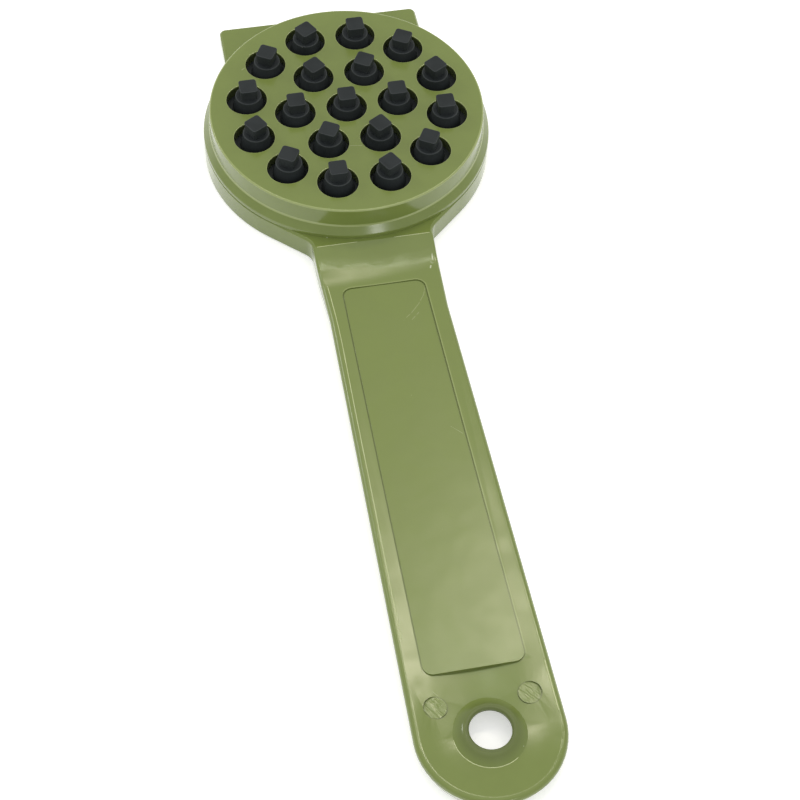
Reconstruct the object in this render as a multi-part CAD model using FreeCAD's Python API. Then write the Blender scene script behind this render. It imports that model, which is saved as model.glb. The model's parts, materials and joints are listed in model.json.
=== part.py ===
import FreeCAD, Part
import math
import os

# Fish scaler: a moulded plastic handle with a round head and a scraper wing, a perforated
# cap on the head, and a rubber pad whose teeth stand out through the holes of the cap.
# Millimetres. While the pieces are made, the head's centre is at X = Y = 0, the handle runs
# towards -Y and the tool's flat back is Z = 0. The finished pieces are then moved along Y,
# so that the origin ends up under the middle of the whole tool.

V = FreeCAD.Vector
UP = V(0, 0, 1)

# Pattern of teeth: one in the middle and two rings around it
tooth_pitch = 13.0
inner_ring_count = 6
outer_ring_count = 12
tooth_hole_radius = 5.05
hole_margin = 1.8

# Perforated cap
cap_height = 8.2
cap_wall_draft = 0.2
cap_wall_thickness = 2.3
cap_plate_thickness = 2.8
cap_bevel = 0.4
flange_step = 1.75
flange_height = 3.0
flange_land = 1.0

# Head of the handle moulding
head_thickness = 6.5
edge_bevel = 0.5
spigot_height = 2.6

# Scraper wing beyond the head
wing_projection = 8.6
wing_tip_half_width = 26.4
wing_root_half_width = 26.8
wing_thickness = 2.4
wing_corner_radius = 1.6
wing_bevel = 0.4

# Handle
neck_gap = 0.9
neck_half_width = 14.8
gusset_radius = 4.0
waist_distance = 21.0
waist_half_width = 14.3
neck_to_end = 131.1
end_half_width = 16.2
handle_thickness = 4.8
ramp_length = 8.0
shoulder_radius = 1.2

# Depth of the hollow between the handle's edges, at three places along it
ramp_foot_dish = 0.35
panel_end_dish = 1.35
hole_dish = 2.1

# Flat panel in the handle
panel_gap = 12.5
panel_length = 104.0
panel_top_half_width = 9.8
panel_bottom_half_width = 11.0
panel_corner_radius = 2.2
panel_level = 4.4
panel_groove_width = 0.3
panel_groove_depth = 0.15

# Hanging hole in its raised collar, and the two ejector marks beside it
hole_radius = 4.5
hole_land = 0.6
collar_rise = 0.4
collar_rim_width = 0.35
collar_slope = 36.0
back_funnel_angle = 59.0
mark_radius = 2.5
mark_spread = 10.1
mark_gap = 7.2
mark_level = 3.85

# Toothed pad
seat_clearance = 0.1
pad_rim_clearance = 0.3
pad_shrink_ratio = 0.98
tooth_root_radius = 4.3
tooth_shoulder_radius = 2.95
tooth_shoulder_rise = 1.8
tooth_tip_rise = 4.8
tooth_tip_width = 4.4
tooth_corner_bevel = 0.5

# How close two lines must lie to count as the same
match = 1e-3

# Worked out from the sizes above
outer_ring_radius = tooth_pitch / (2 * math.sin(math.pi / outer_ring_count))
inner_ring_radius = tooth_pitch / (2 * math.sin(math.pi / inner_ring_count))
cap_inner_radius = outer_ring_radius + tooth_hole_radius + hole_margin
cap_radius = cap_inner_radius + cap_wall_thickness
head_radius = cap_radius + flange_step
wing_reach = head_radius + wing_projection
neck_distance = head_radius + neck_gap
end_distance = neck_distance + neck_to_end
head_top = head_thickness
spigot_top = head_top + spigot_height
face_top = head_top + cap_height
plate_underside = face_top - cap_plate_thickness
spigot_radius = cap_inner_radius - seat_clearance
pad_radius = cap_inner_radius - pad_rim_clearance
tool_tail = end_distance + end_half_width
panel_end = panel_gap + panel_length
collar_top = handle_thickness + collar_rise
tool_centre = (wing_reach - tool_tail) / 2


def polar(radius, degrees, centre=V(0, 0, 0)):
    """A point on a level circle about centre."""
    angle = math.radians(degrees)
    return centre + V(radius * math.cos(angle), radius * math.sin(angle), 0)


def arc(start, middle, end):
    return Part.Arc(start, middle, end).toShape()


def line(start, end):
    return Part.LineSegment(start, end).toShape()


def prism(edges, bottom, top):
    """A vertical prism over a closed outline drawn at Z = 0."""
    wire = Part.Wire(edges)
    wire.translate(UP * bottom)
    return Part.Face(wire).extrude(UP * (top - bottom))


def turned(points):
    """A solid turned about the Z axis, from (radius, z) points."""
    corners = [V(radius, 0, z) for radius, z in points]
    face = Part.Face(Part.makePolygon(corners + corners[:1]))
    return face.revolve(V(0, 0, 0), UP, 360)


def rounded_outline(corners, radius):
    """A closed outline with straight sides and the same radius at every corner."""
    starts, ends, middles = [], [], []
    count = len(corners)
    for i in range(count):
        here = corners[i]
        back = (corners[i - 1] - here).normalize()
        ahead = (corners[(i + 1) % count] - here).normalize()
        half_turn = back.getAngle(ahead) / 2
        reach = radius / math.tan(half_turn)
        bisector = (back + ahead).normalize()
        starts.append(here + back * reach)
        ends.append(here + ahead * reach)
        middles.append(here + bisector * (radius / math.sin(half_turn) - radius))
    edges = []
    for i in range(count):
        edges.append(arc(starts[i], middles[i], ends[i]))
        edges.append(line(ends[i], starts[(i + 1) % count]))
    return edges


def rim_edges(shape, z, beyond_y=None):
    """The level edges at height z, where wanted only those that reach past a line in Y."""
    found = []
    for edge in shape.Edges:
        box = edge.BoundBox
        level = abs(box.ZMin - z) < match and abs(box.ZMax - z) < match
        if level and (beyond_y is None or box.YMax > beyond_y + match):
            found.append(edge)
    return found


def level_inset(body, edges, level):
    """Makes the body's top flat at one level inside an outline, filled or cut as needed."""
    body = body.fuse(prism(edges, level / 2, level))
    return body.cut(prism(edges, level, face_top))


def head_plate():
    """Round plate with straight gussets that curve into the neck of the handle."""
    corner = V(neck_half_width + gusset_radius, -neck_distance, 0)
    heading = math.degrees(math.atan2(corner.y, corner.x))
    opening = math.degrees(math.acos((head_radius + gusset_radius) / corner.Length))
    head_angle = heading + opening
    gusset_angle = head_angle + 180
    neck_angle = 180
    on_head = polar(head_radius, head_angle)
    on_gusset = polar(gusset_radius, gusset_angle, corner)
    on_curve = polar(gusset_radius, (gusset_angle + neck_angle) / 2, corner)
    neck = polar(gusset_radius, neck_angle, corner)

    def mirrored(point):
        return V(-point.x, point.y, point.z)

    edges = [
        arc(on_head, V(0, head_radius, 0), mirrored(on_head)),
        line(mirrored(on_head), mirrored(on_gusset)),
        arc(mirrored(on_gusset), mirrored(on_curve), mirrored(neck)),
        line(mirrored(neck), neck),
        arc(neck, on_curve, on_gusset),
        line(on_gusset, on_head),
    ]
    plate = prism(edges, 0, head_top)
    rim = rim_edges(plate, 0, -neck_distance) + rim_edges(plate, head_top, -neck_distance)
    return plate.makeChamfer(edge_bevel, rim)


def half_width_at(distance):
    """The handle's half width at a distance from the neck line."""
    if distance < waist_distance:
        t = distance / waist_distance
        return neck_half_width + (waist_half_width - neck_half_width) * t * t * (3 - 2 * t)
    t = (distance - waist_distance) / (neck_to_end - waist_distance)
    return waist_half_width + (end_half_width - waist_half_width) * t


def crest_at(distance):
    """Height of the handle's edges: an arc down the ramp from the head, then level."""
    drop = head_top - handle_thickness
    radius = (ramp_length ** 2 + drop ** 2) / (2 * drop)
    before_foot = max(ramp_length - distance, 0.0)
    return handle_thickness + radius - math.sqrt(radius ** 2 - before_foot ** 2)


def dish_at(distance):
    """Depth of the hollow between the handle's edges, growing towards the hanging hole."""
    stations = [
        (0.0, 0.0),
        (ramp_length, ramp_foot_dish),
        (panel_end, panel_end_dish),
        (neck_to_end, hole_dish),
    ]
    for (start, start_depth), (end, end_depth) in zip(stations, stations[1:]):
        if distance <= end:
            return start_depth + (end_depth - start_depth) * (distance - start) / (end - start)
    return hole_dish


def shoulder_at(distance):
    t = min(distance / waist_distance, 1.0)
    return edge_bevel + (shoulder_radius - edge_bevel) * t


def half_section(half_width, crest, dish, shoulder):
    """Points of the right half of the handle's section, from the dish down the side. The
    bevel runs on below the back, which is cut flat later."""
    slope = 2 * math.atan(dish / (half_width - shoulder))
    crest_x = half_width - shoulder * (1 + math.sin(slope))
    centre_x = half_width - shoulder
    centre_z = crest - shoulder * math.cos(slope)
    middle_angle = (math.pi / 2 + slope) / 2
    shoulder_x = centre_x + shoulder * math.cos(middle_angle)
    shoulder_z = centre_z + shoulder * math.sin(middle_angle)
    return dict(
        dish=(0.0, crest - dish),
        crest=(crest_x, crest),
        shoulder=(shoulder_x, shoulder_z),
        side_top=(half_width, centre_z),
        side_bottom=(half_width, edge_bevel),
        back=(half_width - 2 * edge_bevel, -edge_bevel),
    )


def handle_section(distance):
    """Closed section of the handle at a distance from the neck line. At the neck itself it
    has the bevelled edges of the head plate."""
    y = -neck_distance - distance
    points = half_section(
        half_width_at(distance), crest_at(distance), dish_at(distance), shoulder_at(distance)
    )
    right = {name: V(x, y, z) for name, (x, z) in points.items()}
    left = {name: V(-x, y, z) for name, (x, z) in points.items()}
    back = [
        line(right["side_top"], right["side_bottom"]),
        line(right["side_bottom"], right["back"]),
        line(right["back"], left["back"]),
        line(left["back"], left["side_bottom"]),
        line(left["side_bottom"], left["side_top"]),
    ]
    if distance > 0:
        left_shoulder = arc(left["side_top"], left["shoulder"], left["crest"])
        top = arc(left["crest"], right["dish"], right["crest"])
        right_shoulder = arc(right["crest"], right["shoulder"], right["side_top"])
    else:
        left_shoulder = line(left["side_top"], left["crest"])
        top = line(left["crest"], right["crest"])
        right_shoulder = line(right["crest"], right["side_top"])
    return Part.Wire([top, right_shoulder] + back + [left_shoulder])


def handle_bar():
    """The long part of the handle: smooth down the ramp, then straight between stations."""
    steps = 4
    ramp = [handle_section(ramp_length * i / steps) for i in range(steps + 1)]
    level = [handle_section(distance) for distance in (waist_distance, panel_end, neck_to_end)]
    return Part.makeLoft(ramp, True, False).fuse(Part.makeLoft([ramp[-1]] + level, True, True))


def handle_end():
    """The round end: half of the last section, turned about the hanging hole."""
    centre = V(0, -end_distance, 0)
    points = half_section(
        half_width_at(neck_to_end), crest_at(neck_to_end), dish_at(neck_to_end), shoulder_radius
    )
    at = {name: centre + V(x, 0, z) for name, (x, z) in points.items()}
    radius = (at["crest"].x ** 2 + hole_dish ** 2) / (2 * hole_dish)
    middle_x = at["crest"].x / 2
    middle_z = at["dish"].z + radius - math.sqrt(radius ** 2 - middle_x ** 2)
    edges = [
        arc(at["dish"], centre + V(middle_x, 0, middle_z), at["crest"]),
        arc(at["crest"], at["shoulder"], at["side_top"]),
        line(at["side_top"], at["side_bottom"]),
        line(at["side_bottom"], at["back"]),
        line(at["back"], centre - UP * edge_bevel),
        line(centre - UP * edge_bevel, at["dish"]),
    ]
    return Part.Face(Part.Wire(edges)).revolve(centre, UP, -180)


def under_back():
    """Cutter for what lies below the flat back."""
    depth = 2 * edge_bevel
    width = 2 * head_radius
    return Part.makeBox(width, tool_tail, depth, V(-width / 2, -tool_tail, -depth))


def panel_outline(margin=0.0):
    """The panel's outline, or the one that lies a margin outside it."""
    top = margin - neck_distance - panel_gap
    bottom = -margin - neck_distance - panel_end
    top_half_width = panel_top_half_width + margin
    bottom_half_width = panel_bottom_half_width + margin
    corners = [
        V(-top_half_width, top, 0),
        V(-bottom_half_width, bottom, 0),
        V(bottom_half_width, bottom, 0),
        V(top_half_width, top, 0),
    ]
    return rounded_outline(corners, panel_corner_radius + margin)


def panel_groove():
    """Cutter for the fine groove that runs round the panel."""
    outer = prism(panel_outline(panel_groove_width), panel_level - panel_groove_depth, face_top)
    return outer.cut(prism(panel_outline(), 0, face_top))


def hole_collar():
    """Raised collar round the hanging hole, a low cone whose foot runs out into the dish."""
    foot_level = handle_thickness - hole_dish - collar_rise
    top_radius = hole_radius + 2 * collar_rim_width
    foot_radius = top_radius + (collar_top - foot_level) / math.tan(math.radians(collar_slope))
    collar = turned([
        (0, foot_level),
        (foot_radius, foot_level),
        (top_radius, collar_top),
        (0, collar_top),
    ])
    collar.translate(V(0, -end_distance, 0))
    return collar


def hanging_hole():
    """Cutter for the hanging hole: a short bore at the collar's top, wide open to the back."""
    bore_top = collar_top - collar_rim_width
    bore_bottom = bore_top - hole_land
    back_radius = hole_radius + bore_bottom / math.tan(math.radians(back_funnel_angle))
    cutter = turned([
        (0, 0),
        (back_radius, 0),
        (hole_radius, bore_bottom),
        (hole_radius, bore_top),
        (hole_radius + collar_rim_width, collar_top),
        (0, collar_top),
    ])
    cutter.translate(V(0, -end_distance, 0))
    return cutter


def scraper_wing():
    """Flat wing at the tool's back, with a straight scraping edge beyond the head."""
    corners = [
        V(-wing_root_half_width, 0, 0),
        V(wing_root_half_width, 0, 0),
        V(wing_tip_half_width, wing_reach, 0),
        V(-wing_tip_half_width, wing_reach, 0),
    ]
    wing = prism(rounded_outline(corners, wing_corner_radius), 0, wing_thickness)
    rim = rim_edges(wing, 0) + rim_edges(wing, wing_thickness)
    return wing.makeChamfer(wing_bevel, rim)


def handle_body():
    """The whole green moulding: handle, head, scraper wing and the cap's spigot."""
    bar = handle_bar().fuse(handle_end()).cut(under_back())
    bar = level_inset(bar, panel_outline(), panel_level).cut(panel_groove())
    for side in (-1, 1):
        centre = V(side * mark_spread, mark_gap - end_distance, 0)
        bar = level_inset(bar, [Part.makeCircle(mark_radius, centre, UP)], mark_level)
    bar = bar.fuse(hole_collar()).cut(hanging_hole())
    spigot_root = V(0, 0, head_top / 2)
    spigot = Part.makeCylinder(spigot_radius, spigot_top - spigot_root.z, spigot_root)
    body = bar.fuse([head_plate(), scraper_wing(), spigot])
    return body.removeSplitter()


def tooth_places(scale=1.0):
    """Place and turn of each tooth. The outer ring starts half a step round from the inner."""
    places = [(V(0, 0, 0), 0.0)]
    rings = (
        (inner_ring_radius, inner_ring_count, 0.0),
        (outer_ring_radius, outer_ring_count, 0.5),
    )
    for radius, count, first in rings:
        step = 360.0 / count
        for i in range(count):
            angle = (i + first) * step
            places.append((polar(radius * scale, angle), angle + first * step))
    return places


def face_cap():
    """Stepped cup over the head, with a sloping flange and a plate full of round holes."""
    land_top = head_top + flange_land
    cap = turned([
        (0, plate_underside),
        (cap_inner_radius, plate_underside),
        (cap_inner_radius, head_top),
        (head_radius, head_top),
        (head_radius, land_top),
        (cap_radius + cap_wall_draft, head_top + flange_height),
        (cap_radius, face_top),
        (0, face_top),
    ])
    cap = cap.makeChamfer(cap_bevel, rim_edges(cap, face_top))
    holes = []
    for place, _ in tooth_places():
        holes.append(Part.makeCylinder(tooth_hole_radius, cap_height, place + UP * head_top))
    return cap.cut(holes)


def tooth():
    """One tooth: a round body that narrows to a flat shoulder, with a square tip on it."""
    shoulder = face_top + tooth_shoulder_rise
    tip = face_top + tooth_tip_rise
    pad_middle = (spigot_top + plate_underside) / 2
    root = Part.Wire(Part.makeCircle(tooth_root_radius, UP * plate_underside))
    neck = Part.Wire(Part.makeCircle(tooth_shoulder_radius, UP * shoulder))
    body = Part.makeLoft([root, neck], True, True)
    foot = Part.makeCylinder(tooth_root_radius, plate_underside - pad_middle, UP * pad_middle)
    half = tooth_tip_width / 2
    square = Part.makeBox(2 * half, 2 * half, tip - shoulder, V(-half, -half, shoulder))
    upright = [edge for edge in square.Edges if edge.BoundBox.ZLength > match]
    return foot.fuse([body, square.makeChamfer(tooth_corner_bevel, upright)])


def tooth_pad():
    """The rubber pad between spigot and cap, with all its teeth in one piece."""
    thickness = plate_underside - spigot_top
    pad = Part.makeCylinder(pad_radius, thickness, UP * spigot_top)
    pattern = tooth()
    teeth = []
    for place, turn in tooth_places(pad_shrink_ratio):
        copy = pattern.copy()
        copy.rotate(V(0, 0, 0), UP, turn)
        copy.translate(place)
        teeth.append(copy)
    return pad.fuse(teeth).removeSplitter()


def export(name, shape):
    """Moves a finished piece to the tool's own origin and writes it to its file."""
    shape.translate(V(0, -tool_centre, 0))
    solid = shape.Solids[0]
    print(name, "solids", len(shape.Solids), "valid", shape.isValid(), "volume", round(solid.Volume, 1))
    solid.exportStep("parts/" + name + ".step")


os.makedirs("parts", exist_ok=True)
export("handle_body", handle_body())
export("face_cap", face_cap())
export("tooth_pad", tooth_pad())
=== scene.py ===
import json
import math

import bpy
from mathutils import Matrix, Vector


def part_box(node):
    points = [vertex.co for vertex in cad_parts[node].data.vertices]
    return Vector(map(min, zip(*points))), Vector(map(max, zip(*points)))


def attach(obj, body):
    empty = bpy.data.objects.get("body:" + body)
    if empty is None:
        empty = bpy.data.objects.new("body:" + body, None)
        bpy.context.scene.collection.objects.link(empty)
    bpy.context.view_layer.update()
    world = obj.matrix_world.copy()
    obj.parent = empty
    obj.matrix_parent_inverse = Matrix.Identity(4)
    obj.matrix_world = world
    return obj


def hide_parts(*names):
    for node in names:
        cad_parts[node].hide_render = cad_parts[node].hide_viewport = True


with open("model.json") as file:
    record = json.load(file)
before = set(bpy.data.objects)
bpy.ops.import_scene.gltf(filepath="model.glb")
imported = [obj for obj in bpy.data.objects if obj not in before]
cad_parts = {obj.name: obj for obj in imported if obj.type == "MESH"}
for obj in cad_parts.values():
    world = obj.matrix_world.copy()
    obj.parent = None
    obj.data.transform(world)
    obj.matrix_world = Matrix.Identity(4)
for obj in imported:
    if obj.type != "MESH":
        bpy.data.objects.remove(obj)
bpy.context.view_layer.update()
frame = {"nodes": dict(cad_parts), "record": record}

# Fish scaler on a pale table. Lengths are in metres and angles in degrees. The head's face looks
# up, and the handle runs towards -Y.

MM = 0.001

# Places and sizes read from the frame
cap_low, cap_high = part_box("face_cap")
pad_low, pad_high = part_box("tooth_pad")
head = Vector((0, (cap_low.y + cap_high.y) / 2, 0))
head_radius = cap_high.x
face_z = cap_high.z
joint_z = cap_low.z
mounts = {mount["name"]: mount["pos_m"] for mount in frame["record"]["mounts"]}
hole_centre = Vector((*mounts["hanging_hole"][:2], 0))

# How near two heights, or two distances from the head's centre, count as the same
same_height = 0.001 * MM
same_radius = 0.01 * MM

# Cap: its wall stands on a flange, which is upright at its foot and slopes in above it
flange_reach = 1.75 * MM
flange_land = 1.0 * MM
flange_height = 3.0 * MM
cap_radius = head_radius - flange_reach
cap_draft = 0.2 * MM
cap_wall = 2.3 * MM
cap_plate = 2.8 * MM
cap_rounding = 0.4 * MM
slope_rounding = 0.3 * MM
land_rounding = 0.2 * MM
foot_rounding = 0.12 * MM
cap_corners = 192

# Holes in the cap
hole_radius = 5.05 * MM
hole_rounding = 0.15 * MM
hole_corners = 72
longest_hole_edge = 0.1 * hole_radius

# Rings of teeth round the middle one
tooth_pitch = 13.0 * MM
rings = ((6, 0.0), (12, 0.5))       # number of teeth, and the first one's turn as a share of a step
ring_shrink = 0.98                  # the teeth stand slightly nearer to the middle than their holes

# One tooth, with its depths below the cap's face and its rise above it, and the pad under it
tooth_root_radius = 4.0 * MM
tooth_root_depth = 1.9 * MM
tooth_waist_radius = 3.55 * MM
tooth_waist_depth = 0.8 * MM
tooth_shoulder_radius = 3.25 * MM
tooth_shoulder_rise = 1.65 * MM
tooth_shoulder_rounding = 0.2 * MM
tooth_corners = 48
tip_foot_width = 4.0 * MM
tip_flare = 1.1
tip_corner_radius = 0.7 * MM
tip_edge_rounding = 0.15 * MM
tip_overlap = 0.4 * MM
pad_corners = 128

# Handle, and its back edge, which is drawn in
edge_rounding = 0.15 * MM
groove_rounding = 0.05 * MM
merge_distance = 0.001 * MM
neck_y = 32.9 * MM
back_draw = 0.945
back_level = 0.6 * MM               # what lies lower belongs to the back edge
back_reach = 24.0 * MM              # where the handle ends and the head's edge begins
end_reach = 5.05 * MM               # how far past the hole's centre the round end begins

# Stretches of the handle where the edges are rounded less or not at all
fine_half_width = 12.8 * MM
fine_reach = (-94.0 * MM, 21.5 * MM)
fine_levels = (3.0 * MM, 4.62 * MM)
groove_margin = 1.0 * MM
shoulder_half_width = 11.0 * MM
shoulder_reach = (-99.0 * MM, 24.0 * MM)
shoulder_level = 3.0 * MM
bore_reach = 5.6 * MM
bore_level = 1.0 * MM
foot_ring = (6.5 * MM, 9.5 * MM)
foot_level = 2.0 * MM

# Collar round the hanging hole: the radius and height of its top edge, and its slope
collar_rim = (5.2 * MM, 5.2 * MM)
collar_slope = math.tan(math.radians(36.0))

# Hair-thin ridges on the handle, painted pale as lines of highlight, in mm and degrees
crest_hairs = (
    # name, side, ends along the handle, number of points, distance inwards from the crest, radius
    ("left_crest", -1, (27.0, -80.0), 54, 0.45, 0.13),
    ("right_crest", 1, (-82.0, -99.0), 18, 0.1, 0.11),
)
crest_search = (11.0, 16.5, 111)    # from and to, across the handle, and the number of tries
crest_gain = 0.0001                 # rise that makes a place count as higher
foot_hair_turns = (182.0, 305.0)
foot_hair_points = 48
foot_hair_radius = 0.12
foot_search = (6.4, 9.4, 121)       # from and to, out from the hole's centre, and the tries
foot_rise = 0.02                    # how far the dish stands over the slope where it starts
neck_hairs = (("neck_left", (-14.6, -4.0)), ("neck_right", (5.0, 14.6)))
neck_hair_points = 12
neck_hair_radius = 0.1
hair_end = 0.4                      # radius at the ends, as a share
even_reach = 5                      # points to each side that a path's kinks are averaged over
overhead = 50.0 * MM                # height from which a surface is looked for

# Values of the attribute that marks worn edges, paler partly as a painted highlight, and hair ridges
# painted pale as highlight, and the widest face of a rounding that counts as worn
edge_wear_and_sheen = 1.0
hair_highlight = 2.0
widest_edge_sheen = 0.26 * MM

# Angles above which an edge is rounded, is a crease or is shaded sharp, or below which it is flat
hard_angle = 28
crease_angle = 20
sharp_angle = 40
hair_angle = 60
flat_angle = 0.2
flat_weight = 100
handle_weight = 50

# Colours
olive = (0.186, 0.238, 0.060, 1)
olive_deep = (0.176, 0.226, 0.055, 1)
olive_dark = (0.085, 0.108, 0.030, 1)
# colour of the painted shade in the cap's holes
olive_hole_shade = (0.030, 0.036, 0.018, 1)
olive_pale = (0.36, 0.41, 0.20, 1)
olive_edge = (0.36, 0.42, 0.17, 1)
olive_shine = (0.50, 0.56, 0.27, 1)
olive_white = (0.62, 0.66, 0.48, 1)
rubber_black = (0.024, 0.0285, 0.030, 1)
rubber_grey = (0.031, 0.036, 0.038, 1)
rubber_edge = (0.075, 0.083, 0.085, 1)
dust_white = (0.5, 0.5, 0.48, 1)

# Noise of the moulded surfaces, in waves per metre
grain_scale = 1100.0
ripple_scale = 75.0
patch_scale = 160.0

# Green plastic; a name that ends in share says how much a mark covers what is below it
plastic_skin = {"Grain": 0.0015 * MM, "Ripple": 0.08 * MM}
plastic_dust = {"Spacing": 5.0 * MM, "Size": 0.12 * MM, "Share": 0.3}
plastic_ior = 1.49
plastic_patches = (0.3, 0.7)
plastic_roughness = (0.17, 0.22)
plastic_edge_sheen_share = 0.7
plastic_dust_share = 0.5

# Black rubber
rubber_skin = {"Grain": 0.004 * MM, "Ripple": 0.05 * MM}
rubber_dust = {"Spacing": 2.6 * MM, "Size": 0.13 * MM, "Share": 0.12}
rubber_specular = 0.1
rubber_patches = (0.35, 0.65)
rubber_dull_patches = (0.3, 0.7)
rubber_roughness = (0.5, 0.62)
rubber_edge_sheen_share = 0.5
rubber_dust_share = 0.35

# Scratches, and nicks that are partly scuffs and partly painted glints, in mm: start, end and width of
# each
handle_scratches = (
    ((10.1, 18.6, 4.4), (9.1, 15.9, 4.4), 0.14),
    ((9.1, 15.9, 4.4), (7.35, 13.3, 4.4), 0.15),
    ((7.35, 13.3, 4.4), (5.2, 11.0, 4.4), 0.15),
    ((5.2, 11.0, 4.4), (2.8, 9.05, 4.4), 0.13),
    ((6.9, 10.8, 4.4), (4.95, 8.95, 4.4), 0.16),
    ((7.6, -22.6, 4.4), (9.9, -25.0, 4.4), 0.1),
    ((2.9, -106.6, 2.9), (3.9, -108.6, 3.0), 0.16),
    ((-10.1, -87.1, 3.9), (-9.0, -88.4, 3.9), 0.16),
)
handle_scuffs_and_glints = (
    # painted glints at the foot of the ramp, then two scuffs on the head plate, then a painted glint
    # beside the collar
    ((13.3, 25.2, 4.8), (12.9, 25.0, 4.8), 0.55),
    ((12.5, 24.0, 4.8), (12.3, 23.4, 4.8), 0.25),
    ((13.5, 27.6, 4.9), (13.3, 25.8, 4.8), 0.22),
    ((-9.2, 37.5, 6.5), (-10.0, 37.0, 6.5), 0.22),
    ((-10.8, 35.7, 6.5), (-10.95, 35.5, 6.5), 0.22),
    ((5.85, -102.2, 3.4), (6.0, -102.5, 3.4), 0.28),
)
cap_scratches = (
    ((-1.5, 56.7, 14.7), (1.4, 56.3, 14.7), 0.14),
    ((-23.9, 86.7, 14.7), (-23.3, 87.1, 14.7), 0.3),
)
cap_glints = (
    # a painted glint on the flange
    ((15.9, 39.1, 8.5), (16.1, 38.9, 8.6), 0.3),
)
scratch_core = 0.3                  # part of the width that is at full strength
break_scale = 900.0
breaks = (0.3, 0.55)                # levels of the noise that breaks the scratches up
scratch_share = 0.35
scratch_dullness = 0.15
scuff_and_glint_share = 0.8

# Panel on the handle, with painted shade in the groove round it and a painted highlight on the lip on
# its right and upper sides
panel_ends = (-83.6 * MM, 20.4 * MM)
panel_halves = (11.0 * MM, 9.8 * MM)
panel_corner = 2.2 * MM
groove_distance = 0.15 * MM
groove_fade = (0.05 * MM, 0.2 * MM)
groove_shade_share = 0.5
lip_distance = 0.45 * MM
lip_fade = (0.05 * MM, 0.22 * MM)
lip_lower_end = (1.0 * MM, 4.0 * MM)      # where it starts and where it is full, from the lower end
lip_right_side = (0.0, 6.0 * MM)          # the same, from the middle line
lip_upper_side = 1.0 * MM                 # how far before the upper end it starts there
lip_highlight_share = 0.42

# Soft swell at the foot of the ramp
swell_lean = 0.1
swell_rise = (22.0 * MM, 27.5 * MM)
swell_fall = (28.5 * MM, 36.0 * MM)
swell_height = 0.25 * MM

# Round marks beside the hanging hole, in mm, with their rim lines and the strokes inside them
mark_places = ((-10.1, -91.0), (10.1, -91.0))
mark_radius = 2.5 * MM
mark_line = 0.22 * MM
mark_rim_share = 0.55
stroke_turn = 35
stroke_size = (0.75 * MM, 3.0 * MM, 1.0)
stroke_edges = (0.35, 0.65)
stroke_height = 0.05 * MM

# Painted shade on the collar's slope, and painted shade on its bore, which is also duller
slope_radius = 5.4 * MM
slope_line = 2.9 * MM
slope_shade_share = 0.55
bore_radius = 5.3 * MM
bore_line = 0.1 * MM
bore_shade_share = 0.4
bore_dullness = 0.35

# Painted shade on the walls of the cap's holes, with the depths where it is full and where it ends
hole_shade_depths = (0.6 * MM, 0.2 * MM)
hole_shade_share = 0.75

# Table, and the light that it adds to its own for the camera and in reflections
table_size = 6.0
table_white = 0.86
table_lift = 0.46
table_glow = 0.75

# Room and lamps, in radiance, where 1 is white
room_low = 0.78
room_middle = 0.73
room_middle_height = 0.78
room_top = 1.13
lamp_distance = 4.0
lamps = (
    # name, azimuth and elevation of both ends, height, radiance, colour
    ("window_back", (21.0, 61.8), (46.0, 54.0), 0.26, 21.0, (1.0, 0.92, 0.74)),
    ("window_top", (8.0, 67.2), (20.0, 66.8), 0.17, 16.0, (0.96, 1.0, 0.82)),
    ("window_far", (-30.0, 64.0), (-6.0, 62.0), 0.26, 16.0, (1.0, 0.92, 0.74)),
    ("window_left", (-53.0, 33.0), (-41.0, 33.0), 0.85, 8.0, (1.0, 1.0, 1.0)),
    ("window_front", (163.0, 26.0), (173.0, 26.0), 0.7, 8.0, (1.0, 1.0, 1.0)),
)

# Camera
camera_place = Vector((-62.0, -264.0, 370.3)) * MM
camera_turn = (35.107, -1.624, -11.07)
camera_lens = 87.5
sensor_width = 36.0


# Modelling steps

def deselect_all():
    if bpy.context.mode != "OBJECT":
        bpy.ops.object.mode_set(mode="OBJECT")
    bpy.ops.object.select_all(action="DESELECT")


def only(piece):
    """Makes one object the selected and active one."""
    deselect_all()
    piece.select_set(True)
    bpy.context.view_layer.objects.active = piece


def join(pieces):
    """Joins the pieces into the first of them."""
    deselect_all()
    for piece in pieces:
        piece.select_set(True)
    bpy.context.view_layer.objects.active = pieces[0]
    bpy.ops.object.join()
    return pieces[0]


def apply_modifier(piece, kind, **settings):
    only(piece)
    modifier = piece.modifiers.new(kind.lower(), kind)
    for key, value in settings.items():
        setattr(modifier, key, value)
    bpy.ops.object.modifier_apply(modifier=modifier.name)


def combine(piece, operation, other):
    """Cuts another piece out of a piece, or fuses it on, and removes it."""
    apply_modifier(piece, "BOOLEAN", operation=operation, solver="EXACT", object=other)
    bpy.data.objects.remove(other)


def face_outwards():
    """Turns the faces of the piece in edit mode outwards, and leaves edit mode."""
    bpy.ops.mesh.select_all(action="SELECT")
    bpy.ops.mesh.normals_make_consistent(inside=False)
    bpy.ops.object.mode_set(mode="OBJECT")


def turned_shape(name, centre, sections, corners):
    """A round shape: a face at the first (radius, height), extruded and scaled through the rest."""
    deselect_all()
    radius, z = sections[0]
    bpy.ops.mesh.primitive_circle_add(
        vertices=corners, radius=radius, fill_type="NGON", location=(centre.x, centre.y, z)
    )
    piece = bpy.context.object
    piece.name = name
    bpy.ops.object.transform_apply()
    bpy.ops.object.mode_set(mode="EDIT")
    bpy.ops.mesh.select_all(action="SELECT")
    for next_radius, next_z in sections[1:]:
        bpy.ops.mesh.extrude_region_move(TRANSFORM_OT_translate={"value": (0, 0, next_z - z)})
        scale = next_radius / radius
        bpy.ops.transform.resize(value=(scale, scale, 1), center_override=(centre.x, centre.y, next_z))
        radius, z = next_radius, next_z
    face_outwards()
    return piece


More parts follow.
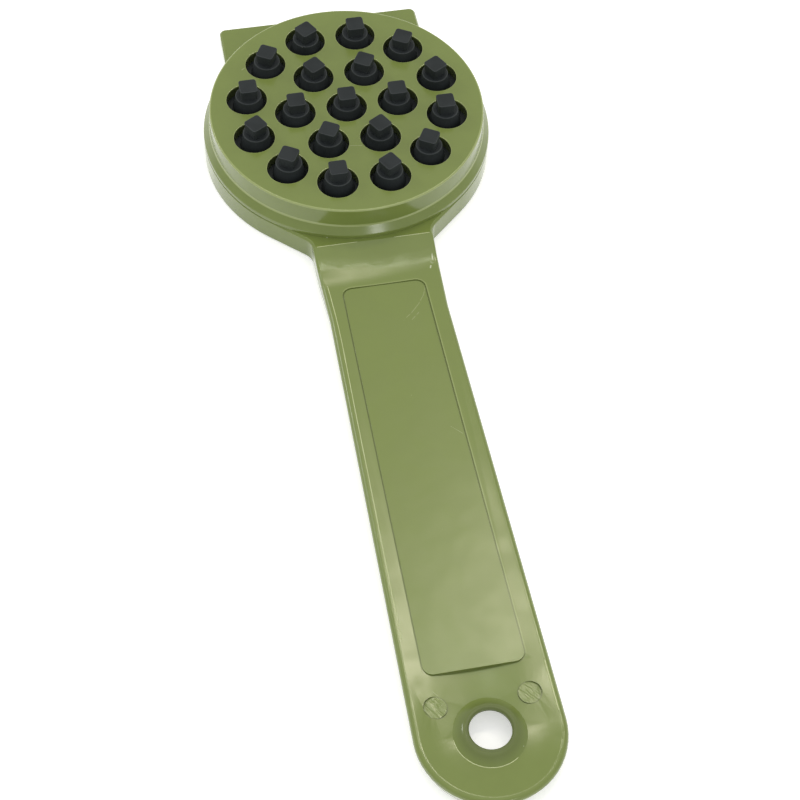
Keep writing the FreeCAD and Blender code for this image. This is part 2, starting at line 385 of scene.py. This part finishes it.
def select_points(piece, wanted):
    """Selects the points for which wanted(place) is true, in edit mode."""
    only(piece)
    bpy.ops.object.mode_set(mode="EDIT")
    bpy.ops.mesh.select_mode(type="VERT")
    bpy.ops.mesh.select_all(action="DESELECT")
    bpy.ops.object.mode_set(mode="OBJECT")
    for point in piece.data.vertices:
        point.select = wanted(point.co)
    bpy.ops.object.mode_set(mode="EDIT")


def select_edges(piece, wanted, angle=None):
    """Selects the edges for which wanted(both ends) is true, of all or of those past an angle."""
    only(piece)
    bpy.ops.object.mode_set(mode="EDIT")
    bpy.ops.mesh.select_mode(type="EDGE")
    bpy.ops.mesh.select_all(action="DESELECT")
    if angle is not None:
        bpy.ops.mesh.edges_select_sharp(sharpness=math.radians(angle))
    bpy.ops.object.mode_set(mode="OBJECT")
    points = piece.data.vertices
    for edge in piece.data.edges:
        first, second = edge.vertices
        candidate = edge.select or angle is None
        edge.select = candidate and wanted(points[first].co, points[second].co)
    bpy.ops.object.mode_set(mode="EDIT")


def round_edges(piece, wanted, width, segments, angle=None, wear_and_sheen=True):
    """Rounds the wanted edges, of all or of those past an angle, and may mark them as worn edges with a
    painted highlight.
    """
    select_edges(piece, wanted, angle)
    bpy.ops.mesh.bevel(offset=width, segments=segments, profile=0.5, clamp_overlap=True)
    bpy.ops.object.mode_set(mode="OBJECT")
    if wear_and_sheen:
        mark_wear_and_sheen(piece)


def mark_wear_and_sheen(piece):
    """Notes the narrow ones of the selected faces, a rounding just made, as worn edges with a painted
    highlight.
    """
    mesh = piece.data
    wear_and_sheen = mesh.attributes.get("wear_and_sheen") or mesh.attributes.new("wear_and_sheen", "FLOAT", "FACE")
    for face in mesh.polygons:
        corners = [mesh.vertices[i].co for i in face.vertices]
        outline = sum((corner - corners[i - 1]).length for i, corner in enumerate(corners))
        if face.select and 2 * face.area / outline < widest_edge_sheen:
            wear_and_sheen.data[face.index].value = edge_wear_and_sheen


def smooth(piece, angle, crease=None, weight=flat_weight):
    """Shades a piece smooth, but keeps its sharp edges, its crease and its flat faces."""
    only(piece)
    bpy.ops.object.shade_smooth_by_angle(angle=math.radians(angle))
    if crease:
        select_edges(piece, crease, crease_angle)
        bpy.ops.mesh.mark_sharp()
        bpy.ops.object.mode_set(mode="OBJECT")
    apply_modifier(piece, "WEIGHTED_NORMAL", keep_sharp=True, weight=weight)


# Cap

def tooth_places(scale=1.0):
    """Place of each tooth from the head's centre and the turn of its tip, in radians."""
    places = [(Vector((0, 0, 0)), 0.0)]
    for count, first in rings:
        radius = scale * tooth_pitch / (2 * math.sin(math.pi / count))
        gap = 2 * math.pi / count
        for i in range(count):
            angle = (i + first) * gap
            place = Vector((math.cos(angle), math.sin(angle), 0)) * radius
            places.append((place, angle + first * gap))
    return places


def cap_shell():
    """The stepped cup with its rounded rims and 19 round holes."""
    inner = cap_radius - cap_wall
    land_z = joint_z + flange_land
    flange_z = joint_z + flange_height
    cap = turned_shape("cap_shell", head, [
        (inner, face_z - cap_plate),
        (inner, joint_z),
        (head_radius, joint_z),
        (head_radius, land_z),
        (cap_radius + cap_draft, flange_z),
        (cap_radius, face_z),
    ], cap_corners)

    def rim(z, radius):
        """A test for the edges of the rim at a height and a distance from the head's centre."""
        def wanted(first, second):
            level = abs(first.z - z) < same_height and abs(second.z - z) < same_height
            return level and abs((first - head).xy.length - radius) < same_radius
        return wanted

    round_edges(cap, rim(face_z, cap_radius), cap_rounding, segments=4)
    round_edges(cap, rim(flange_z, cap_radius + cap_draft), slope_rounding, segments=3)
    round_edges(cap, rim(land_z, head_radius), land_rounding, segments=3, wear_and_sheen=False)
    round_edges(cap, rim(joint_z, head_radius), foot_rounding, segments=2)
    drills = []
    for place, _ in tooth_places():
        middle = head + place + Vector((0, 0, face_z))
        bpy.ops.mesh.primitive_cylinder_add(
            vertices=hole_corners, radius=hole_radius, depth=4 * cap_plate, location=middle
        )
        drills.append(bpy.context.object)
    combine(cap, "DIFFERENCE", join(drills))

    def hole_edge(first, second):
        level = abs(first.z - face_z) < same_height and abs(second.z - face_z) < same_height
        short = (first - second).length < longest_hole_edge
        return level and short and (first - head).xy.length < cap_radius - 2 * cap_rounding

    round_edges(cap, hole_edge, hole_rounding, segments=2)
    smooth(cap, sharp_angle)
    return cap


# Teeth

def tooth_tip(shoulder_z):
    """The square tip of a tooth, which flares a little and starts inside the shoulder."""
    deselect_all()
    foot_z = shoulder_z - tip_overlap
    bpy.ops.mesh.primitive_plane_add(size=tip_foot_width, location=(0, 0, foot_z))
    tip = bpy.context.object
    bpy.ops.object.transform_apply()
    bpy.ops.object.mode_set(mode="EDIT")
    bpy.ops.mesh.select_all(action="SELECT")
    for rise in (tip_overlap, pad_high.z - shoulder_z):
        bpy.ops.mesh.extrude_region_move(TRANSFORM_OT_translate={"value": (0, 0, rise)})
    bpy.ops.transform.resize(value=(tip_flare, tip_flare, 1), center_override=(0, 0, pad_high.z))
    face_outwards()

    def upright(first, second):
        return abs(first.z - second.z) > same_height

    def top_edge(first, second):
        return min(first.z, second.z) > pad_high.z - same_height

    round_edges(tip, upright, tip_corner_radius, segments=5, wear_and_sheen=False)
    round_edges(tip, top_edge, tip_edge_rounding, segments=3)
    return tip


def tooth():
    """One tooth: a round body with a rounded shoulder, and its tip."""
    shoulder_z = face_z + tooth_shoulder_rise
    pad_middle = (pad_low.z + face_z - cap_plate) / 2
    body = turned_shape("tooth", Vector((0, 0, 0)), [
        (tooth_root_radius, pad_middle),
        (tooth_root_radius, face_z - tooth_root_depth),
        (tooth_waist_radius, face_z - tooth_waist_depth),
        (tooth_shoulder_radius, shoulder_z),
    ], tooth_corners)

    def shoulder_edge(first, second):
        return min(first.z, second.z) > shoulder_z - same_height

    round_edges(body, shoulder_edge, tooth_shoulder_rounding, segments=4)
    combine(body, "UNION", tooth_tip(shoulder_z))
    return body


def tooth_pad():
    """The rubber pad with its 19 teeth."""
    pad = turned_shape("tooth_mat", head, [
        (pad_high.x, pad_low.z),
        (pad_high.x, face_z - cap_plate),
    ], pad_corners)
    pattern = tooth()
    teeth = []
    for place, turn in tooth_places(ring_shrink):
        copy = pattern.copy()
        copy.data = pattern.data.copy()
        copy.location = head + place
        copy.rotation_euler = (0, 0, turn)
        bpy.context.scene.collection.objects.link(copy)
        teeth.append(copy)
    bpy.data.objects.remove(pattern)
    combine(pad, "UNION", join(teeth))
    smooth(pad, sharp_angle)
    return pad


# Handle

def is_fine(point):
    """True on the panel's groove and the round marks."""
    inside = abs(point.x) < fine_half_width and fine_reach[0] < point.y < fine_reach[1]
    return inside and fine_levels[0] < point.z < fine_levels[1]


def is_groove(point):
    return is_fine(point) and point.y > panel_ends[0] - groove_margin


def is_bore(point):
    """True on the upper edge of the hanging hole."""
    return (point - hole_centre).xy.length < bore_reach and point.z > bore_level


def is_shoulder(point):
    """True on the tops of the handle's long sides, which are round already."""
    along = shoulder_reach[0] < point.y < shoulder_reach[1]
    return abs(point.x) > shoulder_half_width and along and point.z > shoulder_level


def is_collar_foot(point):
    radius = (point - hole_centre).xy.length
    return foot_ring[0] < radius < foot_ring[1] and point.z > foot_level


def hard_edge(first, second):
    """True for what isn't fine work, the bore, a shoulder or the collar's foot."""
    return not (is_fine(first) or is_collar_foot(first) or is_shoulder(first) or is_bore(first))


def groove_edge(first, second):
    return is_groove(first) and is_groove(second)


def collar_crease(first, second):
    return is_collar_foot(first) and is_collar_foot(second)


def handle_moulding():
    """The handle with its head and wing: its solid's mesh, joined up, with its edges rounded."""
    mesh = frame["nodes"]["handle_body"].data.copy()
    handle = bpy.data.objects.new("handle_moulding", mesh)
    bpy.context.scene.collection.objects.link(handle)
    only(handle)
    bpy.ops.object.mode_set(mode="EDIT")
    bpy.ops.mesh.select_mode(type="EDGE")
    bpy.ops.mesh.select_all(action="SELECT")
    bpy.ops.mesh.remove_doubles(threshold=merge_distance)
    bpy.ops.mesh.customdata_custom_splitnormals_clear()
    bpy.ops.mesh.dissolve_limited(angle_limit=math.radians(flat_angle), delimit={"NORMAL"})
    bpy.ops.object.mode_set(mode="OBJECT")
    draw_in_back(handle)
    hairs = hair_ridges(handle)
    round_edges(handle, hard_edge, edge_rounding, segments=2, angle=hard_angle)
    round_edges(handle, groove_edge, groove_rounding, segments=1, angle=hard_angle)
    smooth(handle, sharp_angle, collar_crease, handle_weight)
    return join([handle, *hairs])


def draw_in_back(handle):
    """Draws the handle's back edge in a little, so that its sides and its round end lean in."""
    select_points(handle, lambda place: place.z < back_level and place.y < back_reach)
    bpy.ops.transform.resize(value=(back_draw, 1, 1), center_override=(0, 0, 0))
    select_points(handle, lambda place: place.z < back_level and place.y < hole_centre.y - end_reach)
    bpy.ops.transform.resize(value=(1, back_draw, 1), center_override=hole_centre)
    bpy.ops.object.mode_set(mode="OBJECT")


def steps_between(start, end, count):
    return [start + (end - start) * i / (count - 1) for i in range(count)]


def even(path):
    """The path with its small kinks averaged out."""
    smoothed = []
    for i in range(len(path)):
        near = path[max(0, i - even_reach):i + even_reach + 1]
        smoothed.append(sum(near, Vector((0, 0, 0))) / len(near))
    return smoothed


def top_of(piece, x, y):
    """The piece's top surface above a place."""
    hit, place, _, _ = piece.ray_cast(Vector((x, y, overhead)), Vector((0, 0, -1)))
    return place if hit else Vector((x, y, 0))


def crest_point(handle, side, y, inwards):
    """A point at a distance in mm inwards from the crest of one of the handle's shoulders."""
    best = Vector((0, 0, 0))
    for x in steps_between(*crest_search):
        place = top_of(handle, side * x * MM, y * MM)
        if place.z > best.z + crest_gain * MM:
            best = place
    return top_of(handle, best.x - side * inwards * MM, y * MM)


def foot_point(handle, turn):
    """The place where the collar's slope runs out into the dish, by its turn round the hole."""
    way = Vector((math.cos(math.radians(turn)), math.sin(math.radians(turn)), 0))
    for radius in steps_between(*foot_search):
        place = top_of(handle, *(hole_centre + way * radius * MM).xy)
        slope_z = collar_rim[1] - (radius * MM - collar_rim[0]) * collar_slope
        if place.z > slope_z + foot_rise * MM:
            break
    return place


def hair_line(name, path, radius):
    """A hair-thin ridge along a path, which runs out thin at both ends, marked for a pale painted
    highlight.
    """
    deselect_all()
    data = bpy.data.curves.new(name, "CURVE")
    data.dimensions = "3D"
    data.bevel_depth = radius
    data.bevel_resolution = 1
    data.use_fill_caps = True
    spline = data.splines.new("POLY")
    spline.points.add(len(path) - 1)
    for point, place in zip(spline.points, path):
        point.co = (*place, 1)
    for end in (0, -1):
        spline.points[end].radius = hair_end
    hair = bpy.data.objects.new(name, data)
    bpy.context.scene.collection.objects.link(hair)
    only(hair)
    bpy.ops.object.convert(target="MESH")
    bpy.ops.object.mode_set(mode="EDIT")
    face_outwards()
    wear_and_sheen = hair.data.attributes.new("wear_and_sheen", "FLOAT", "FACE")
    for face in wear_and_sheen.data:
        face.value = hair_highlight
    smooth(hair, hair_angle)
    return hair


def hair_ridges(handle):
    """The ridges, marked for a pale painted highlight, along both shoulders, round the near side of the
    collar and across the neck.
    """
    hairs = []
    for name, side, ends, count, inwards, radius in crest_hairs:
        path = [crest_point(handle, side, y, inwards) for y in steps_between(*ends, count)]
        hairs.append(hair_line(name, even(path), radius * MM))
    path = [foot_point(handle, turn) for turn in steps_between(*foot_hair_turns, foot_hair_points)]
    hairs.append(hair_line("collar_foot", path, foot_hair_radius * MM))
    for name, ends in neck_hairs:
        path = [top_of(handle, x * MM, neck_y) for x in steps_between(*ends, neck_hair_points)]
        hairs.append(hair_line(name, path, neck_hair_radius * MM))
    return hairs


# Shader steps

def step(tree, kind, sources=None, **settings):
    """Adds a shader node, sets it up and feeds its inputs from sockets or plain values."""
    node = tree.nodes.new(kind)
    for key, value in settings.items():
        setattr(node, key, value)
    for key, source in (sources or {}).items():
        if isinstance(source, bpy.types.NodeSocket):
            tree.links.new(source, node.inputs[key])
        else:
            node.inputs[key].default_value = source
    return node


def maths(tree, operation, first, second=0.0, clamp=False):
    inputs = {0: first, 1: second}
    return step(tree, "ShaderNodeMath", inputs, operation=operation, use_clamp=clamp).outputs[0]


def vectors(tree, operation, first, second=(0.0, 0.0, 0.0)):
    return step(tree, "ShaderNodeVectorMath", {0: first, 1: second}, operation=operation)


def along_axis(tree, position, axis):
    return step(tree, "ShaderNodeSeparateXYZ", {0: position}).outputs[axis]


def noise(tree, position, scale, detail=2.0):
    inputs = {"Vector": position, "Scale": scale, "Detail": detail}
    return step(tree, "ShaderNodeTexNoise", inputs).outputs[0]


def straight_step(tree, value, low, high, start=0.0, end=1.0):
    """Value between start and end as the input passes from low to high."""
    return step(tree, "ShaderNodeMapRange", {
        "Value": value, "From Min": low, "From Max": high, "To Min": start, "To Max": end,
    }).outputs["Result"]


def soft_step(tree, value, low, high, start=0.0, end=1.0):
    """As straight_step, but with a gentle start and end."""
    return step(tree, "ShaderNodeMapRange", {
        "Value": value, "From Min": low, "From Max": high, "To Min": start, "To Max": end,
    }, interpolation_type="SMOOTHSTEP").outputs["Result"]


def line_at(tree, distance, middle, fade):
    """Mask of a line where a distance is near its middle, with its sides faded out."""
    off = maths(tree, "ABSOLUTE", maths(tree, "SUBTRACT", distance, middle))
    return soft_step(tree, off, *fade, 1.0, 0.0)


def mix(tree, colour, mask, over):
    """The colour with another one laid over it where the mask is."""
    node = step(tree, "ShaderNodeMix", {0: mask}, data_type="RGBA")
    for socket, source in ((node.inputs[6], colour), (node.inputs[7], over)):
        if isinstance(source, bpy.types.NodeSocket):
            tree.links.new(source, socket)
        else:
            socket.default_value = source
    return node.outputs[2]


def paint(tree, colour, mask, share, over):
    """The colour with a share of another one laid over it where the mask is."""
    return mix(tree, colour, maths(tree, "MULTIPLY", mask, share, clamp=True), over)


def mm(x, y, z):
    return (x * MM, y * MM, z * MM)


# Effects that the materials share

NUMBER = "NodeSocketFloat"
VECTOR = "NodeSocketVector"


def shared_effect(name, inputs, outputs):
    """An empty shader node group with named inputs and outputs."""
    group = bpy.data.node_groups.new(name, "ShaderNodeTree")
    for label, kind in inputs:
        group.interface.new_socket(name=label, in_out="INPUT", socket_type=kind)
    for label, kind in outputs:
        group.interface.new_socket(name=label, in_out="OUTPUT", socket_type=kind)
    return group, group.nodes.new("NodeGroupInput").outputs, group.nodes.new("NodeGroupOutput").inputs


def effect(tree, group, position, **values):
    """Places a shared effect in a material with its own values, and gives its outputs."""
    return step(tree, "ShaderNodeGroup", {"Position": position, **values}, node_tree=group).outputs


def moulded_skin_effect():
    """Height of a moulded surface, a fine grain on a slow ripple, and its faint patches."""
    tree, given, result = shared_effect(
        "moulded_skin",
        [("Position", VECTOR), ("Grain", NUMBER), ("Ripple", NUMBER)],
        [("Height", NUMBER), ("Patches", NUMBER)],
    )
    position = given["Position"]
    grain = maths(tree, "MULTIPLY", noise(tree, position, grain_scale, 1.0), given["Grain"])
    ripple = maths(tree, "MULTIPLY", noise(tree, position, ripple_scale), given["Ripple"])
    tree.links.new(maths(tree, "ADD", grain, ripple), result["Height"])
    tree.links.new(noise(tree, position, patch_scale), result["Patches"])
    return tree


def dust_specks_effect():
    """Mask of a few tiny round specks, one at most in each cell of the spacing."""
    tree, given, result = shared_effect(
        "dust_specks",
        [("Position", VECTOR), ("Spacing", NUMBER), ("Size", NUMBER), ("Share", NUMBER)],
        [("Mask", NUMBER)],
    )
    scale = maths(tree, "DIVIDE", 1.0, given["Spacing"])
    cells = step(tree, "ShaderNodeTexVoronoi", {"Vector": given["Position"], "Scale": scale})
    reach = maths(tree, "DIVIDE", given["Size"], given["Spacing"])
    near = maths(tree, "LESS_THAN", cells.outputs["Distance"], reach)
    draw = step(tree, "ShaderNodeSeparateColor", {0: cells.outputs["Color"]}).outputs[0]
    kept = maths(tree, "LESS_THAN", draw, given["Share"])
    tree.links.new(maths(tree, "MULTIPLY", near, kept), result["Mask"])
    return tree


def scratch_effect():
    """Mask of one straight scratch between two places."""
    tree, given, result = shared_effect(
        "scratch",
        [("Position", VECTOR), ("Start", VECTOR), ("End", VECTOR), ("Width", NUMBER)],
        [("Mask", NUMBER)],
    )
    way = vectors(tree, "SUBTRACT", given["End"], given["Start"]).outputs[0]
    here = vectors(tree, "SUBTRACT", given["Position"], given["Start"]).outputs[0]
    passed = vectors(tree, "DOT_PRODUCT", here, way).outputs["Value"]
    whole = vectors(tree, "DOT_PRODUCT", way, way).outputs["Value"]
    share = maths(tree, "DIVIDE", passed, whole, clamp=True)
    nearest = step(tree, "ShaderNodeVectorMath", {0: way, "Scale": share}, operation="SCALE").outputs[0]
    gap = vectors(tree, "DISTANCE", here, nearest).outputs["Value"]
    core = maths(tree, "MULTIPLY", given["Width"], scratch_core)
    line = soft_step(tree, gap, core, given["Width"], 1.0, 0.0)
    unbroken = soft_step(tree, noise(tree, given["Position"], break_scale), *breaks)
    tree.links.new(maths(tree, "MULTIPLY", line, unbroken), result["Mask"])
    return tree


def round_mark_effect():
    """Masks of a round mark seen from above: its rim line and its inside."""
    tree, given, result = shared_effect(
        "round_mark",
        [("Position", VECTOR), ("Centre", VECTOR), ("Radius", NUMBER), ("Line", NUMBER)],
        [("Rim", NUMBER), ("Inside", NUMBER)],
    )
    here = vectors(tree, "SUBTRACT", given["Position"], given["Centre"]).outputs[0]
    flat = vectors(tree, "MULTIPLY", here, (1.0, 1.0, 0.0)).outputs[0]
    far = vectors(tree, "LENGTH", flat).outputs["Value"]
    tree.links.new(line_at(tree, far, given["Radius"], (0.0, given["Line"])), result["Rim"])
    tree.links.new(maths(tree, "LESS_THAN", far, given["Radius"]), result["Inside"])
    return tree


# Materials

def principled(name):
    material = bpy.data.materials.new(name)
    material.use_nodes = True
    return material, material.node_tree, material.node_tree.nodes["Principled BSDF"]


def finish(tree, shader, colour, roughness, height):
    """Feeds a material's shader with its colour, its roughness and the bump of its height."""
    tree.links.new(colour, shader.inputs["Base Color"])
    tree.links.new(roughness, shader.inputs["Roughness"])
    bump = step(tree, "ShaderNodeBump", {"Strength": 1.0, "Distance": 1.0, "Height": height})
    tree.links.new(bump.outputs[0], shader.inputs["Normal"])


def panel_lines(tree, position):
    """Masks of the painted shade in the fine groove round the handle's panel and of the painted
    highlight on the lip beyond it.
    """
    low, high = panel_ends
    x = along_axis(tree, position, "X")
    y = along_axis(tree, position, "Y")
    half = straight_step(tree, y, low, high, *panel_halves)
    across = maths(tree, "SUBTRACT", maths(tree, "ABSOLUTE", x), half)
    from_middle = maths(tree, "ABSOLUTE", maths(tree, "SUBTRACT", y, (low + high) / 2))
    along = maths(tree, "SUBTRACT", from_middle, (high - low) / 2)
    corner = step(tree, "ShaderNodeCombineXYZ", {
        "X": maths(tree, "MAXIMUM", maths(tree, "ADD", across, panel_corner), 0.0),
        "Y": maths(tree, "MAXIMUM", maths(tree, "ADD", along, panel_corner), 0.0),
    }).outputs[0]
    out = maths(tree, "SUBTRACT", vectors(tree, "LENGTH", corner).outputs["Value"], panel_corner)
    groove_shade = line_at(tree, out, groove_distance, groove_fade)
    lip_highlight = line_at(tree, out, lip_distance, lip_fade)
    above = straight_step(tree, y, *(low + distance for distance in lip_lower_end))
    right = straight_step(tree, x, *lip_right_side)
    upper = straight_step(tree, y, high - lip_upper_side, high)
    shown = maths(tree, "MULTIPLY", above, maths(tree, "MAXIMUM", right, upper))
    return groove_shade, maths(tree, "MULTIPLY", lip_highlight, shown)


def ramp_swell(tree, position):
    """Height of the soft swell at the foot of the ramp, in which the light spreads."""
    lean = maths(tree, "MULTIPLY", along_axis(tree, position, "X"), swell_lean)
    y = maths(tree, "SUBTRACT", along_axis(tree, position, "Y"), lean)
    rise = soft_step(tree, y, *swell_rise)
    fall = soft_step(tree, y, *swell_fall, 1.0, 0.0)
    return maths(tree, "MULTIPLY", maths(tree, "MULTIPLY", rise, fall), swell_height)


def round_marks(tree, position, colour, height):
    """Adds the rims of the round marks to the colour and the strokes in them to the height."""
    turned = step(tree, "ShaderNodeMapping", {
        "Vector": position, "Rotation": (0, 0, math.radians(stroke_turn)), "Scale": stroke_size,
    }, vector_type="TEXTURE").outputs[0]
    strokes = soft_step(tree, noise(tree, turned, 1.0), *stroke_edges)
    for x, y in mark_places:
        mark = effect(tree, mark_group, position, Centre=mm(x, y, 0), Radius=mark_radius, Line=mark_line)
        inside = maths(tree, "MULTIPLY", mark["Inside"], strokes)
        height = maths(tree, "ADD", height, maths(tree, "MULTIPLY", inside, stroke_height))
        colour = paint(tree, colour, mark["Rim"], mark_rim_share, olive_dark)
    return colour, height


def handle_details(tree, position, colour, height):
    """Adds the panel's lines of painted shade and highlight, the swell, the round marks and painted
    shade on the collar.
    """
    height = maths(tree, "ADD", height, ramp_swell(tree, position))
    groove_shade, lip_highlight = panel_lines(tree, position)
    # painted shade in the groove and painted highlight on the lip
    colour = paint(tree, colour, groove_shade, groove_shade_share, olive_dark)
    colour = paint(tree, colour, lip_highlight, lip_highlight_share, olive_edge)
    colour, height = round_marks(tree, position, colour, height)
    centre = tuple(hole_centre)
    # painted shade on the collar's slope and on its bore
    slope_shade = effect(tree, mark_group, position, Centre=centre, Radius=slope_radius, Line=slope_line)
    colour = paint(tree, colour, slope_shade["Rim"], slope_shade_share, olive_dark)
    bore = effect(tree, mark_group, position, Centre=centre, Radius=bore_radius, Line=bore_line)
    colour = paint(tree, colour, bore["Inside"], bore_shade_share, olive_dark)
    return colour, height, maths(tree, "MULTIPLY", bore["Inside"], bore_dullness)


def cap_details(tree, position, colour, height):
    """Adds painted shade on the walls of the cap's holes."""
    z = along_axis(tree, position, "Z")
    below = soft_step(tree, z, *(face_z - depth for depth in hole_shade_depths), 1.0, 0.0)
    flat = vectors(tree, "MULTIPLY", position, (1.0, 1.0, 0.0)).outputs[0]
    far = vectors(tree, "DISTANCE", flat, tuple(head)).outputs["Value"]
    within = soft_step(tree, far, cap_radius - cap_wall, cap_radius - cap_wall / 2, 1.0, 0.0)
    # painted shade on the walls of the holes
    hole_shade = maths(tree, "MULTIPLY", below, within)
    return paint(tree, colour, hole_shade, hole_shade_share, olive_hole_shade), height, 0.0


def streaks(tree, position, lines):
    """One mask of all the scratches, or of all the scuffs and painted glints, in a list."""
    mask = 0.0
    for start, end, width in lines:
        line = effect(tree, scratch_group, position, Start=mm(*start), End=mm(*end), Width=width * MM)
        mask = maths(tree, "MAXIMUM", line["Mask"], mask)
    return mask


def olive_plastic(name, details, scratches, scuffs_and_glints):
    """Satin olive-green plastic, paler on worn edges, partly as a painted highlight, and with a painted
    highlight on the hair ridges, with a piece's own details and scratches.
    """
    material, tree, shader = principled(name)
    shader.inputs["IOR"].default_value = plastic_ior
    position = step(tree, "ShaderNodeTexCoord").outputs["Object"]
    skin = effect(tree, skin_group, position, **plastic_skin)
    colour = mix(tree, olive, soft_step(tree, skin["Patches"], *plastic_patches), olive_deep)
    wear_and_sheen = step(tree, "ShaderNodeAttribute", attribute_name="wear_and_sheen").outputs["Fac"]
    # paler worn edges, partly a painted highlight
    colour = paint(tree, colour, wear_and_sheen, plastic_edge_sheen_share, olive_edge)
    # pale painted highlight on the hair ridges
    colour = mix(tree, colour, maths(tree, "SUBTRACT", wear_and_sheen, edge_wear_and_sheen, clamp=True), olive_shine)
    colour, height, dullness = details(tree, position, colour, skin["Height"])
    scratched = streaks(tree, position, scratches)
    colour = paint(tree, colour, scratched, scratch_share, olive_pale)
    # scuffs and painted glints
    colour = paint(tree, colour, streaks(tree, position, scuffs_and_glints), scuff_and_glint_share, olive_white)
    dust = effect(tree, dust_group, position, **plastic_dust)
    colour = paint(tree, colour, dust["Mask"], plastic_dust_share, olive_pale)
    roughness = soft_step(tree, skin["Patches"], *plastic_patches, *plastic_roughness)
    dullness = maths(tree, "ADD", maths(tree, "MULTIPLY", scratched, scratch_dullness), dullness)
    finish(tree, shader, colour, maths(tree, "ADD", roughness, dullness), height)
    return material


def black_rubber():
    """Matt black rubber, paler on worn edges, partly as a painted highlight, with a few pale specks of
    dust.
    """
    material, tree, shader = principled("black_rubber")
    shader.inputs["Specular IOR Level"].default_value = rubber_specular
    position = step(tree, "ShaderNodeTexCoord").outputs["Object"]
    skin = effect(tree, skin_group, position, **rubber_skin)
    colour = mix(tree, rubber_black, soft_step(tree, skin["Patches"], *rubber_patches), rubber_grey)
    wear_and_sheen = step(tree, "ShaderNodeAttribute", attribute_name="wear_and_sheen").outputs["Fac"]
    # paler worn edges, partly a painted highlight
    colour = paint(tree, colour, wear_and_sheen, rubber_edge_sheen_share, rubber_edge)
    dust = effect(tree, dust_group, position, **rubber_dust)
    colour = paint(tree, colour, dust["Mask"], rubber_dust_share, dust_white)
    roughness = soft_step(tree, skin["Patches"], *rubber_dull_patches, *rubber_roughness)
    finish(tree, shader, colour, roughness, skin["Height"])
    return material


def give(piece, material):
    piece.data.materials.clear()
    piece.data.materials.append(material)


# Table, light and camera

def table():
    """A white table top, which looks brighter to the camera and in reflections than it is lit."""
    bpy.ops.mesh.primitive_plane_add(size=table_size, location=(0, 0, 0))
    floor = bpy.context.object
    floor.name = "table_top"
    material = bpy.data.materials.new("white_table")
    material.use_nodes = True
    tree = material.node_tree
    tree.nodes.clear()
    out = tree.nodes.new("ShaderNodeOutputMaterial")
    rays = tree.nodes.new("ShaderNodeLightPath")
    seen = maths(tree, "MULTIPLY", rays.outputs["Is Camera Ray"], table_lift)
    mirrored = maths(tree, "MULTIPLY", rays.outputs["Is Glossy Ray"], table_glow)
    strength = maths(tree, "ADD", seen, mirrored)
    white = step(tree, "ShaderNodeBsdfDiffuse", {"Color": (table_white, table_white, table_white, 1)})
    lift = step(tree, "ShaderNodeEmission", {"Color": (1, 1, 1, 1), "Strength": strength})
    both = step(tree, "ShaderNodeAddShader", {0: white.outputs[0], 1: lift.outputs[0]})
    tree.links.new(both.outputs[0], out.inputs["Surface"])
    give(floor, material)


def direction(azimuth, elevation):
    """A way out from the tool; the azimuth runs from +Y towards +X."""
    turn, rise = math.radians(azimuth), math.radians(elevation)
    return Vector((math.sin(turn) * math.cos(rise), math.cos(turn) * math.cos(rise), math.sin(rise)))


def area_light(name, start, end, height, radiance, colour):
    """A soft panel of light that reaches from one direction to another."""
    first, second = direction(*start), direction(*end)
    way = (first + second).normalized()
    width = (second - first).length * lamp_distance
    data = bpy.data.lights.new(name, "AREA")
    data.shape = "RECTANGLE"
    data.size = width
    data.size_y = height
    data.energy = radiance * math.pi * width * height
    data.color = colour
    lamp = bpy.data.objects.new(name, data)
    lamp.location = way * lamp_distance
    across = (second - first).normalized()
    upwards = way.cross(across)
    lamp.rotation_euler = Matrix((across, upwards, way)).transposed().to_euler()
    bpy.context.scene.collection.objects.link(lamp)


def studio():
    """A pale room that is brighter overhead and white to the camera, and its windows."""
    world = bpy.data.worlds.new("pale_room")
    bpy.context.scene.world = world
    world.use_nodes = True
    tree = world.node_tree
    up = along_axis(tree, step(tree, "ShaderNodeTexCoord").outputs["Generated"], "Z")
    ramp = step(tree, "ShaderNodeValToRGB", {"Fac": up})
    stops = ramp.color_ramp.elements
    stops.new(room_middle_height)
    for stop, grey in zip(stops, (room_low, room_middle, room_top)):
        stop.color = (grey, grey, grey, 1)
    seen = step(tree, "ShaderNodeLightPath").outputs["Is Camera Ray"]
    colour = mix(tree, ramp.outputs["Color"], seen, (1, 1, 1, 1))
    tree.links.new(colour, tree.nodes["Background"].inputs["Color"])
    for lamp in lamps:
        area_light(*lamp)


def camera():
    data = bpy.data.cameras.new("view")
    data.lens = camera_lens
    data.sensor_width = sensor_width
    eye = bpy.data.objects.new("view", data)
    eye.location = camera_place
    eye.rotation_euler = [math.radians(angle) for angle in camera_turn]
    bpy.context.scene.collection.objects.link(eye)
    bpy.context.scene.camera = eye


bpy.context.scene.view_settings.view_transform = "Standard"
skin_group = moulded_skin_effect()
dust_group = dust_specks_effect()
scratch_group = scratch_effect()
mark_group = round_mark_effect()
cap_plastic = olive_plastic("olive_cap", cap_details, cap_scratches, cap_glints)
handle_plastic = olive_plastic("olive_handle", handle_details, handle_scratches, handle_scuffs_and_glints)
for piece, material, node, slot in (
    (cap_shell(), cap_plastic, "face_cap", "cap_plastic"),
    (handle_moulding(), handle_plastic, "handle_body", "handle_plastic"),
    (tooth_pad(), black_rubber(), "tooth_pad", "pad_rubber"),
):
    give(piece, material)
    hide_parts(node)
    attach(piece, "root")
table()
studio()
camera()
